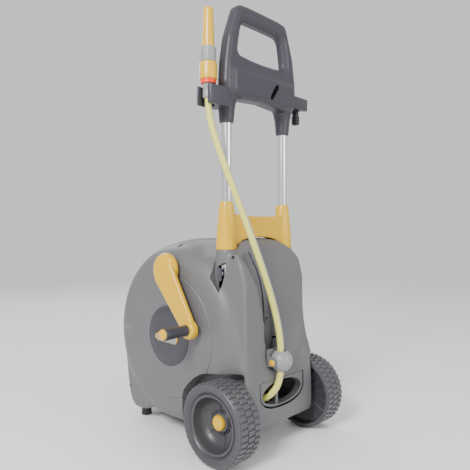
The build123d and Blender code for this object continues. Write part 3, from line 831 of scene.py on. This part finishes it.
def buildCrank():
    hubY, hubZ = crank["axis"]
    endY, endZ = crank["knobAt"]
    hub = addTurned("hub", crank["hub"], (0, hubY, hubZ), "x", 64)
    end = addTurned("end", crank["end"], (0, endY, endZ), "x", 48)
    along = Vector((endY - hubY, endZ - hubZ)).normalized()
    across = Vector((-along.y, along.x))
    wide, narrow = crank["web"]
    hubAt, endAt = Vector((hubY, hubZ)), Vector((endY, endZ))
    outline = [hubAt + across * wide, endAt + across * narrow,
               endAt - across * narrow, hubAt - across * wide]
    web = addPrism("web", [tuple(p) for p in outline], "x", *crank["webX"])
    bevelEdges(web, crank["webEdge"], 4, 50)
    arm = softUnion("crankArm", [hub, end, web], crank["voxel"], crank["easing"])
    radius, floor = crank["knobSeat"]
    carve(arm, addRod("knobSeat", radius, "x", -200, floor, (0, endY, endZ)))
    finishPiece(arm, "crank", "yellow", "crank_arm", angle=50)
    knob = addTurned("crankKnob", crank["knob"], (0, endY, endZ), "x", 64)
    finishPiece(knob, "crank_knob", "charcoal", "crank_knob", angle=45)
    cap = addTurned("knobCap", crank["cap"], (0, endY, endZ), "x", 48)
    finishPiece(cap, "crank_knob", "yellow", "knob_cap", angle=45)


buildCrank()
print("crank made")

# Hub covers, and the plain badge on one of them.

cover = {
    "profile": [(144.8, 0), (144.8, 74), (145.6, 75.3), (146.6, 75.1), (147.1, 73), (146.6, 71),
                (147.2, 69), (147.7, 50), (148, 20), (148, 0)],
    "inlet": 9.2,
    "badge": [(163, 247), (170, 236), (236, 237.5), (250, 245), (247, 254), (228, 261), (170, 263)],
    "badgeX": (-150.4, -147.8),
    "badgeRim": 3,
    "badgeSunk": 0.8,
}


def buildCovers():
    for side, name, node in ((-1, "leftHubCover", "left_hub_cover"),
                             (1, "rightHubCover", "right_hub_cover")):
        profile = [(side * a, r) for a, r in cover["profile"]]
        if side > 0:
            # open in the middle for the water inlet
            inlet = cover["inlet"]
            profile = [(profile[0][0], inlet), *profile[1:-1], (profile[-1][0], inlet)]
        disc = addTurned(name, profile, places["reel"], "x", 128)
        finishPiece(disc, "case", "charcoal", node, angle=25)


def buildBadge():
    start, end = cover["badgeX"]
    badge = addPrism("hubBadge", cover["badge"], "x", start, end)
    startEdit(badge)
    bpy.ops.mesh.select_all(action="DESELECT")
    endEdit()
    min(badge.data.polygons, key=lambda face: face.center.x).select = True
    bpy.ops.object.mode_set(mode="EDIT")
    bpy.ops.mesh.inset(thickness=cover["badgeRim"] * mm)
    bpy.ops.transform.translate(value=(cover["badgeSunk"] * mm, 0, 0))
    endEdit()
    bevelEdges(badge, 0.5, 2, 40)
    finishPiece(badge, "case", "yellow", "hub_badge")
    # the sunk face inside the rim is grey
    badge.data.materials.append(finishes["light_grey"])
    nearest, farthest = spot(start + 0.3, 0, 0).x, spot(start + 1.4, 0, 0).x
    for face in badge.data.polygons:
        sunk = nearest < face.center.x < farthest and abs(face.normal.x) > 0.9
        if sunk and face.area > 100 * mm * mm:
            face.material_index = 1


buildCovers()
buildBadge()
print("hub covers made")

# Collar over the tube outlets, and the telescopic tubes.

collar = {
    "voxel": 2.0,
    "easing": 8,
    "cone": [(-2, 0), (-2, 24.5), (0, 25), (30, 23.4), (60, 21.2), (90, 18.4), (106, 16.4),
             (110.5, 15.2), (111.5, 14), (111.5, 0)],
    "coneFoot": 474,
    "bore": 12.8,
    # front outline of the bridge between the cones; its foot follows the crown of the case
    "bridge": [(-100, 470), (-100, 557), (-50, 553.5), (0, 552), (50, 553.5), (100, 557), (100, 470),
               (84, 481), (66, 493), (40, 499.5), (0, 501.5), (-40, 499.5), (-66, 493), (-84, 481)],
    "bridgeY": (24, 52),
}
tubes = {"radius": 12.5, "wall": 1.2, "heights": (412, 862), "latchZ": 424, "latchHole": 3.3}


def buildCollar():
    tubeX, tubeY = places["tube"]
    feet = [(side * tubeX, tubeY, collar["coneFoot"]) for side in (-1, 1)]
    bridge = addPrism("bridge", collar["bridge"], "y", *collar["bridgeY"])
    cones = [addTurned("cone", collar["cone"], foot, "z", 64) for foot in feet]
    form = softUnion("tubeCollar", [bridge, *cones], collar["voxel"], collar["easing"])
    carve(form, *[addRod("bore", collar["bore"], "z", -20, 140, foot, 64) for foot in feet])
    finishPiece(form, "case", "yellow", "tube_collar", angle=45)


def buildTubes():
    tubeX, tubeY = places["tube"]
    low, high = tubes["heights"]
    outer, inner, tall = tubes["radius"], tubes["radius"] - tubes["wall"], high - low
    profile = [(0, inner), (0, outer - 0.3), (0.3, outer), (tall - 0.3, outer), (tall, outer - 0.3),
               (tall, inner)]
    for side, name, node in ((-1, "leftTube", "left_handle_tube"), (1, "rightTube", "right_handle_tube")):
        tube = addTurned(name, profile, (side * tubeX, tubeY, low), "z", 64)
        latchAt = (side * tubeX, tubeY, tubes["latchZ"])
        carve(tube, addRod("latchHole", tubes["latchHole"], "x", side * 5, side * 20, latchAt, 24),
              solver="EXACT")
        finishPiece(tube, "handle", "aluminium", node)


buildCollar()
buildTubes()
print("collar and tubes made")

# Handle: a rounded loop with a swelling between two sockets.

handle = {
    "voxel": 2.0,
    "easing": 10,
    "outline": [(0, 1050), (60, 1049.5), (84, 1047), (93, 1039), (100, 1022), (121, 965), (131, 905),
                (134, 858), (128, 832), (84, 824), (0, 830)],
    "loopY": (11, 45),
    "loopEdge": 10,
    "window": [(0, 1012), (60, 1011), (70, 1008), (77, 998), (86, 950), (86, 938), (78, 930), (40, 927),
               (0, 926)],
    "windowFlare": 1.2,
    "bulge": [(-121, 832), (-121, 900), (0, 902), (121, 900), (121, 832), (84, 824), (0, 830),
              (-84, 824)],
    "bulgeY": (2, 54),
    "bulgeEdge": 15,
    "socket": [(0, 0), (0, 16), (1.2, 17), (3, 17.2), (20, 18.4), (40, 20.6), (56, 24), (68, 29),
               (84, 29), (84, 0)],
    "socketFoot": 768,
    "splitY": 38,
    "splitGap": 0.2,
    "slot": [(34, 879), (40, 883), (47, 881), (49, 874), (26, 843), (19, 840), (14, 843), (15, 849)],
    "slotDepth": (-5, 24),
    "screws": [(-77, 850), (77, 850), (0, 866), (-106, 975), (106, 975), (0, 1030)],
    "screwWell": 4.3,
    "screwWellY": (43, 70),
}


def buildLoop():
    low, high = handle["loopY"]
    loop = addPrism("loop", mirrored(handle["outline"]), "y", low, high)
    window = mirrored(handle["window"])
    bevelEdges(loop, handle["loopEdge"], 4, 60)
    # the window goes straight through and is flared towards both faces
    flare = handle["windowFlare"]
    return carve(loop, addPrism("window", window, "y", low - 20, high + 20),
                 addPrism("flare", window, "y", low + 9, low - 2, endScale=flare),
                 addPrism("flare", window, "y", high - 9, high + 2, endScale=flare))


def handleCutters(feet):
    cutters = [addPrism("slot", handle["slot"], "y", *handle["slotDepth"])]
    radius, ends = handle["screwWell"], handle["screwWellY"]
    for x, z in handle["screws"]:
        cutters.append(addRod("screwWell", radius, "y", *ends, (x, 0, z), 24))
    deep = tubes["heights"][1] - handle["socketFoot"]
    for foot in feet:
        cutters.append(addRod("bore", tubes["radius"], "z", -10, deep, foot, 64))
    return cutters


def buildHandle():
    loop = buildLoop()
    bulge = addPrism("bulge", handle["bulge"], "y", *handle["bulgeY"])
    bevelEdges(bulge, handle["bulgeEdge"], 5, 50)
    tubeX, tubeY = places["tube"]
    feet = [(side * tubeX, tubeY, handle["socketFoot"]) for side in (-1, 1)]
    sockets = [addTurned("socket", handle["socket"], foot, "z", 64) for foot in feet]
    form = softUnion("handleForm", [loop, bulge, *sockets], handle["voxel"], handle["easing"])
    carve(form, *handleCutters(feet))
    split, gap = handle["splitY"], handle["splitGap"]
    names = {"handleFront": (-1, "handle_front"), "handleRear": (1, "handle_rear")}
    for name, (side, node) in names.items():
        half = copyPiece(form, name)
        away = rectangle(-200, 200, 700, 1100)
        carve(half, addPrism("away", away, "y", split + side * gap, split - side * 60))
        finishPiece(half, "handle", "charcoal", node, angle=45)
    bpy.data.objects.remove(form)


buildHandle()
print("handle made")

# Clips beside the handle, and the nozzle stored in one of them.

clips = {
    "bore": 15.2,
    "mouth": (-52, -308),
    "frontY": 10,
    "rootX": 122,
    "nozzleHeights": (799, 841.5),
    "fittingHeights": (842, 873),
    "ease": 2.5,
}
nozzle = {
    # heights from the floor, and radius
    "connector": [(815, 4.5), (815, 11), (816.5, 12.5), (834, 12.5), (835, 11.9), (836.5, 11.9),
                  (837.5, 12.5), (848, 12.5), (848, 8), (868, 8), (868, 4.5)],
    "collar": [(847.5, 12.6), (847.5, 17.2), (848.6, 18), (851.2, 18), (852, 17.2), (852.8, 18),
               (855.6, 18), (856.5, 17.4), (856.5, 12.6)],
    "barrel": [(857, 8.1), (857, 18.6), (858.2, 19.8), (862, 20), (893, 20), (894.8, 19.4), (895.5, 18.2),
               (895.5, 8), (985.5, 8), (985.5, 4.5), (869, 4.5), (869, 8.1)],
    "ring": [(896, 8.1), (896, 16.4), (897, 17.1), (929, 17.1), (930, 16.4), (930, 8.1)],
    "ribs": 24,
    "ribDepth": (16.6, 18),
    "ribWidth": 2.1,
    "tip": [(930, 9), (930, 13.2), (931, 13.8), (940, 13.6), (1013, 11.2), (1017, 10.6), (1018.6, 9.8),
            (1019, 9), (1018.6, 6.6), (1016, 5.2), (992, 5), (986, 9)],
}


def clipOutline(side):
    # open C: one arm in front, one behind, the mouth outwards
    cx, cy = places["clip"]
    bore, root, front = clips["bore"], clips["rootX"], clips["frontY"]
    points = [(root, front), (cx + 17, front), (cx + 19, front + 3), (cx + 19, front + 11)]
    first, last = clips["mouth"]
    for step in range(13):
        angle = radians(first + (last - first) * step / 12)
        points.append((cx + bore * cos(angle), cy + bore * sin(angle)))
    points += [(cx + 20, cy + 13), (cx + 20, cy + 17), (cx + 14, cy + 20.5), (root, cy + 20.5)]
    return [(side * x, y) for x, y in points]


def buildClips():
    for side, which in ((-1, "nozzle"), (1, "fitting")):
        clip = addPrism(which + "Clip", clipOutline(side), "z", *clips[which + "Heights"])
        bevelEdges(clip, clips["ease"], 3, 40)
        finishPiece(clip, "handle", "charcoal", which + "_clip")


def buildNozzle():
    x, y = -places["clip"][0], places["clip"][1]
    turned = (
        ("hoseConnector", "connector", "handle", "light_grey", "hose_connector"),
        ("connectorCollar", "collar", "connector_collar", "orange", "connector_collar"),
        ("nozzleBarrel", "barrel", "handle", "yellow", "nozzle_barrel"),
        ("nozzleTip", "tip", "nozzle_head", "yellow", "nozzle_tip"),
    )
    for name, profile, body, slotName, node in turned:
        finishPiece(addTurned(name, nozzle[profile], (x, y, 0), "z", 64), body, slotName, node)
    grip = addTurned("nozzleRing", nozzle["ring"], (x, y, 0), "z", 72)
    low, high = nozzle["ribDepth"]
    half = nozzle["ribWidth"] / 2
    foot, top = nozzle["ring"][0][0], nozzle["ring"][-1][0]
    outline = rectangle(x + low, x + high, y - half, y + half)
    rib = bevelEdges(addPrism("rib", outline, "z", foot + 0.6, top - 0.6), 0.5, 2)
    ribs = [rib]
    for number in range(1, nozzle["ribs"]):
        twin = copyPiece(rib, "rib")
        ribs.append(turnPiece(twin, 360 / nozzle["ribs"] * number, "Z", (x, y, foot)))
    finishPiece(join("nozzleRing", [grip, *ribs]), "nozzle_head", "light_grey", "nozzle_ring")


buildClips()
buildNozzle()
print("clips and nozzle made")

# Wheels.

wheel = {
    "centre": (163, 0, 92),
    # along the axle outwards from the wheel's middle, and radius, round the rim, dish and hub
    "section": [(-33, 6.2), (-33, 19), (-31.5, 20.5), (-20, 21), (-17, 24), (-14.5, 40), (-13.5, 72),
                (-16, 78.5), (-31, 80.5), (-33, 82), (-33, 87), (-31.6, 88.4), (-29, 89.6), (29, 89.6),
                (31.6, 88.8), (33, 87), (33, 82.5), (31.8, 77), (29.5, 71.5), (26.6, 69.6), (25.8, 68),
                (26.6, 66.4), (29, 65.4), (29.6, 63.4), (28.6, 61.2), (24, 59.5), (12, 57), (2, 51),
                (-4, 42), (-6, 33), (-5, 27), (0, 23), (2.6, 21.4), (3.5, 19.5), (3.5, 6.2)],
    "rows": [(-30.5, -11.5), (-9.5, 9.5), (11.5, 30.5)],
    "blocks": 42,
    "blockShare": 0.64,
    "blockRadius": (88.8, 91.9),
    # ribs in the dish and on the inside: how many, half their thickness, and their outline
    "dishRibs": (6, 0.8, [(-2.5, 21.5), (1, 24.5), (3.4, 30), (3.6, 36), (2, 42), (-1.2, 46.5),
                          (-5.2, 51.5), (-10, 55), (-6, 57.5), (4, 56), (10, 46), (11, 32), (8, 21)]),
    "innerRibs": (16, 0.8, [(14, 21), (19, 21), (15.5, 40), (15.5, 76), (12, 76), (12, 21)]),
    "ribStart": 12,
    "cap": [(3.8, 6.4), (3.8, 16.4), (4.8, 17.4), (8, 17.2), (11, 15.6), (13, 12), (14, 6), (14.2, 0),
            (11, 0), (11, 6.4)],
    "axle": [(-173, 0), (-173, 5), (-172, 6), (-129, 6), (-129, 6.8), (-127, 6.8), (-127, 6), (127, 6),
             (127, 6.8), (129, 6.8), (129, 6), (172, 6), (173, 5), (173, 0)],
}


def buildWheelForm():
    # built about the left wheel's place with its outer face towards -x
    cx, cy, cz = wheel["centre"]
    middle = (-cx, cy, cz)
    rim = addTurned("wheelForm", [(-a, r) for a, r in wheel["section"]], middle, "x", 120)
    parts = [rim, *buildTread(middle), *buildRibs(middle)]
    return join("wheelForm", parts)


def buildTread(middle):
    cx, cy, cz = middle
    low, high = wheel["blockRadius"]
    pitch = 360 / wheel["blocks"]
    sweep = pitch * wheel["blockShare"]
    blocks = []
    for row, (start, end) in enumerate(wheel["rows"]):
        # curved block: out along the tread's radius, back along the foot's
        angles = [radians(sweep * (step / 3 - 0.5)) for step in range(4)]
        outline = [(cy + high * sin(angle), cz + high * cos(angle)) for angle in angles]
        outline += [(cy + low * sin(angle), cz + low * cos(angle)) for angle in reversed(angles)]
        block = addPrism("block", outline, "x", cx - end, cx - start)
        bevelEdges(block, 0.7, 1, 50)
        for number in range(wheel["blocks"]):
            twin = copyPiece(block, "block")
            turnPiece(twin, pitch * (number + 0.5 * (row % 2)), "X", middle)
            blocks.append(twin)
        bpy.data.objects.remove(block)
    return blocks


def buildRibs(middle):
    ribs = []
    for which in ("dishRibs", "innerRibs"):
        count, half, outline = wheel[which]
        rib = addPrism("rib", outline, "y", -half, half)
        startEdit(rib)
        bpy.ops.transform.translate(value=Vector(middle) * mm)
        endEdit()
        bevelEdges(rib, 0.5, 1, 50)
        for number in range(count):
            twin = copyPiece(rib, "rib")
            ribs.append(turnPiece(twin, 360 / count * number + wheel["ribStart"], "X", middle))
        bpy.data.objects.remove(rib)
    return ribs


def buildWheels():
    form = buildWheelForm()
    cx, cy, cz = wheel["centre"]
    cap = addTurned("leftWheelCap", [(-a, r) for a, r in wheel["cap"]], (-cx, cy, cz), "x", 64)
    otherForm = mirrorX(copyPiece(form, "rightWheel"))
    otherCap = mirrorX(copyPiece(cap, "rightWheelCap"))
    form.name = "leftWheel"
    form.data.name = "leftWheel"
    finishPiece(form, "left_wheel", "wheel_plastic", "left_wheel")
    finishPiece(otherForm, "right_wheel", "wheel_plastic", "right_wheel")
    finishPiece(cap, "left_wheel", "yellow", "left_wheel_cap")
    finishPiece(otherCap, "right_wheel", "yellow", "right_wheel_cap")
    axle = addTurned("wheelAxle", wheel["axle"], (0, cy, cz), "x", 48)
    finishPiece(axle, "case", "steel", "wheel_axle")


buildWheels()
print("wheels made")

# Front feet.

feet = {
    "places": [(-85, 372), (85, 372)],
    "profile": [(0, 0), (0, 12.5), (1.2, 14), (3, 14.4), (14, 13.4), (24, 13.4), (26, 14.4), (26, 0)],
}


def buildFeet():
    pads = [addTurned("foot", feet["profile"], (x, y, 0), "z", 48) for x, y in feet["places"]]
    finishPiece(join("frontFeet", pads), "case", "black_plastic", "front_feet")


buildFeet()
print("feet made")

# Floor, sky and lamps, then the hose gets its finish and smooth shading and stands in for the CAD hose
# run.

stage = {"floorSize": 8.0, "floorColour": "#f4f4f4"}


def makeStage():
    deselectAll()
    bpy.ops.mesh.primitive_plane_add(size=stage["floorSize"], location=(0, 0, 0))
    floor = bpy.context.object
    floor.name = "floor"
    finish, tree, shader, where = startFinish("floorPaper")
    shader.inputs["Base Color"].default_value = srgb(stage["floorColour"])
    shader.inputs["Roughness"].default_value = 0.8
    floor.data.materials.append(finish)
    world = bpy.data.worlds.new("softSky")
    bpy.context.scene.world = world
    world.use_nodes = True
    world.node_tree.nodes["Background"].inputs[0].default_value = srgb("#f6f7f9")
    world.node_tree.nodes["Background"].inputs[1].default_value = 0.9
    lamps = {
        "keyLamp": ((-2.6, -0.9, 2.2), 120, 0.9),
        "fillLamp": ((0.4, -2.8, 1.4), 25, 1.2),
        "rimLamp": ((0.8, 2.4, 2.2), 20, 1.4),
    }
    for name, (place, power, size) in lamps.items():
        light = bpy.data.lights.new(name, "AREA")
        light.energy = power
        light.size = size
        lamp = bpy.data.objects.new(name, light)
        bpy.context.scene.collection.objects.link(lamp)
        lamp.location = place
        lamp.rotation_euler = (Vector((0, 0, 0.4)) - Vector(place)).to_track_quat("-Z", "Y").to_euler()


makeStage()

gardenHose.data.materials.clear()
gardenHose.data.materials.append(finishes["hose_pvc"])
pick(gardenHose)
bpy.ops.object.shade_smooth_by_angle(angle=radians(40))
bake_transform(gardenHose)
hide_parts("hose_run")
